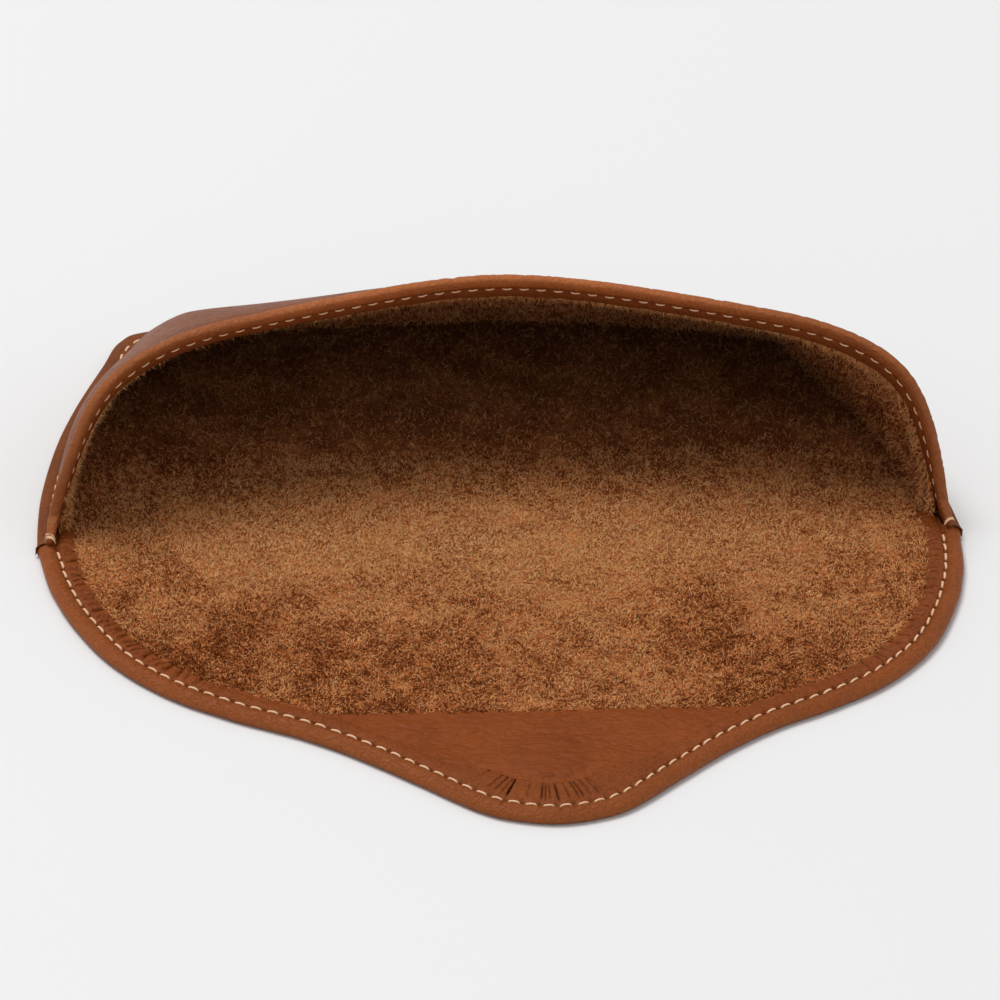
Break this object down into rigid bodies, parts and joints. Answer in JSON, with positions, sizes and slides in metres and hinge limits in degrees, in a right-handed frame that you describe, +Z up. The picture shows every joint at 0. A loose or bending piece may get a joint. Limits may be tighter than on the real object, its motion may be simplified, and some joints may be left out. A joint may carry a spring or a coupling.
{
  "type": "eyeglasses case",
  "caption": "Soft leather eyeglasses case lying open: an arched suede-lined pouch with a rolled rim and a long lined flap whose tip folds over the rim and is held by magnets",
  "frame": {"origin": "middle of the fold line between pouch and flap, on the resting plane under the back panel", "axes": "+X along the mouth to the right, +Y into the pouch, +Z up; the flap lies flat towards -Y"},
  "size_m": [0.1784, 0.175, 0.0471],
  "materials": {
    "leather": "tan pebbled leather, satin, fine creases at the turned edge",
    "facing": "smooth tan leather, satin",
    "suede": "long-napped orange-brown suede, matt and mottled",
    "thread": "cream twisted sewing thread",
    "magnet": "nickel-plated magnet disc"
  },
  "bodies": {
    "pouch": {"back_leather": "leather", "back_lining": "suede", "front_leather": "leather", "front_lining": "suede", "front_magnet": "magnet", "rim_thread_inner": "thread", "rim_thread_outer": "thread", "seam_thread_top": "thread", "seam_thread_bottom": "thread", "corner_tack_left": "thread", "corner_tack_right": "thread"},
    "flap_spine": {"spine_leather": "leather", "spine_lining": "suede", "spine_thread_left_top": "thread", "spine_thread_left_bottom": "thread", "spine_thread_right_top": "thread", "spine_thread_right_bottom": "thread"},
    "flap_bridge": {"bridge_leather": "leather", "bridge_lining": "suede", "bridge_facing": "facing", "bridge_thread_left_top": "thread", "bridge_thread_left_bottom": "thread", "bridge_thread_right_top": "thread", "bridge_thread_right_bottom": "thread"},
    "flap_tip": {"tip_leather": "leather", "tip_facing": "facing", "tip_magnet": "magnet", "tip_thread_top": "thread", "tip_thread_bottom": "thread"}
  },
  "joints": [
    {"name": "flap_fold_base", "type": "hinge", "parent": "pouch", "child": "flap_spine", "pos_m": [0, -0.002, 0.0026], "axis": [-1, 0, 0], "range_deg": [0, 98]},
    {"name": "flap_fold_rim", "type": "hinge", "parent": "flap_spine", "child": "flap_bridge", "pos_m": [0, -0.0455, 0.0026], "axis": [-1, 0, 0], "range_deg": [0, 70]},
    {"name": "flap_fold_tip", "type": "hinge", "parent": "flap_bridge", "child": "flap_tip", "pos_m": [0, -0.0646, 0.0026], "axis": [-1, 0, 0], "range_deg": [0, 50]}
  ]
}
